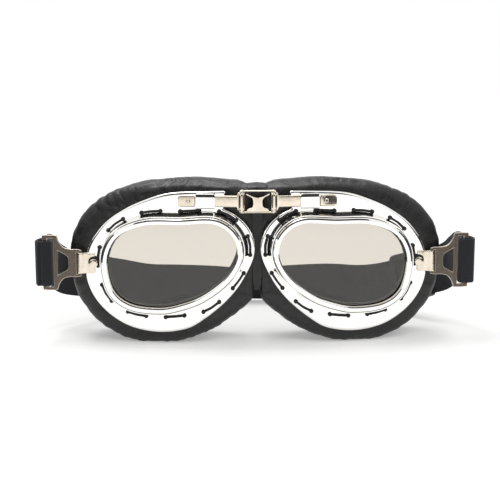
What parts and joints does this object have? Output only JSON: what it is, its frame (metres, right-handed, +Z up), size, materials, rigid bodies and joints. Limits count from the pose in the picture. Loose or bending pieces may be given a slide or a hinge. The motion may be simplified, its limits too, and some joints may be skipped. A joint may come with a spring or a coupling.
{
  "type": "motocross goggles",
  "caption": "Vintage style riding goggles: plated eyecups with clear lenses and laced flanges on leather cushions, folding bridge, side clips and an elastic strap with a slider.",
  "frame": {"origin": "under the middle of the pair's bounding box, at the level of the ground that the cushions stand on", "axes": "+Z up, +X to the right as seen from the front, +Y from the lenses back to the strap"},
  "size_m": [0.235, 0.1232, 0.0874],
  "materials": {
    "chrome_plating": "bright chrome plating on moulded plastic",
    "nickel_plating": "pale nickel plating on pressed steel",
    "antique_nickel": "dark antique nickel on pressed steel",
    "clear_lens": "clear polycarbonate with a slight warm grey tint",
    "black_plastic": "satin moulded",
    "black_rubber": "matt",
    "black_leather": "soft coated leather, semi-matt",
    "black_velvet": "short pile",
    "black_cord": "waxed flat cord",
    "black_elastic": "fine ribbed elastic webbing"
  },
  "bodies": {
    "link": {"bridge_link": "nickel_plating", "nose_gusset": "black_leather", "strap_back": "black_elastic", "strap_side_left": "black_elastic", "strap_side_right": "black_elastic"},
    "tab_left": {"bridge_tab_left": "nickel_plating"},
    "tab_right": {"bridge_tab_right": "nickel_plating"},
    "cup_left": {"frame_shell_left": "chrome_plating", "lens_rim_left": "chrome_plating", "lens_left": "clear_lens", "lens_gasket_left": "black_rubber", "retaining_ring_left": "black_plastic", "cushion_left": "black_leather", "face_lining_left": "black_velvet", "lace_left": "black_cord", "side_tab_left": "nickel_plating"},
    "cup_right": {"frame_shell_right": "chrome_plating", "lens_rim_right": "chrome_plating", "lens_right": "clear_lens", "lens_gasket_right": "black_rubber", "retaining_ring_right": "black_plastic", "cushion_right": "black_leather", "face_lining_right": "black_velvet", "lace_right": "black_cord", "side_tab_right": "nickel_plating"},
    "clip_left": {"strap_clip_left": "antique_nickel", "strap_loop_left": "black_elastic"},
    "clip_right": {"strap_clip_right": "antique_nickel", "strap_loop_right": "black_elastic"},
    "slider": {"strap_slider": "black_plastic"}
  },
  "joints": [
    {"name": "bridge_fold_left", "type": "hinge", "parent": "link", "child": "tab_left", "pos_m": [-0.0084, -0.05457, 0.0776], "axis": [0, 0, -1], "range_deg": [-8, 6], "deforming": ["nose_gusset", "strap_side_left"]},
    {"name": "bridge_fold_right", "type": "hinge", "parent": "link", "child": "tab_right", "pos_m": [0.0084, -0.05457, 0.0776], "axis": [0, 0, 1], "range_deg": [-8, 6], "deforming": ["nose_gusset", "strap_side_right"]},
    {"name": "cup_slide_left", "type": "slide", "parent": "tab_left", "child": "cup_left", "axis": [-0.9925, 0.1219, 0], "range_m": [-0.0004, 0.002], "deforming": ["nose_gusset", "strap_side_left"]},
    {"name": "cup_slide_right", "type": "slide", "parent": "tab_right", "child": "cup_right", "axis": [0.9925, 0.1219, 0], "range_m": [-0.0004, 0.002], "deforming": ["nose_gusset", "strap_side_right"]},
    {"name": "clip_hinge_left", "type": "hinge", "parent": "cup_left", "child": "clip_left", "pos_m": [-0.09325, -0.04416, 0.044], "axis": [0, 0, -1], "range_deg": [-60, 30], "deforming": ["strap_side_left"]},
    {"name": "clip_hinge_right", "type": "hinge", "parent": "cup_right", "child": "clip_right", "pos_m": [0.09325, -0.04416, 0.044], "axis": [0, 0, 1], "range_deg": [-60, 30], "deforming": ["strap_side_right"]},
    {"name": "slider_slide", "type": "slide", "parent": "link", "child": "slider", "axis": [-0.6094, 0.7271, -0.3163], "range_m": [-0.005, 0.005]}
  ]
}
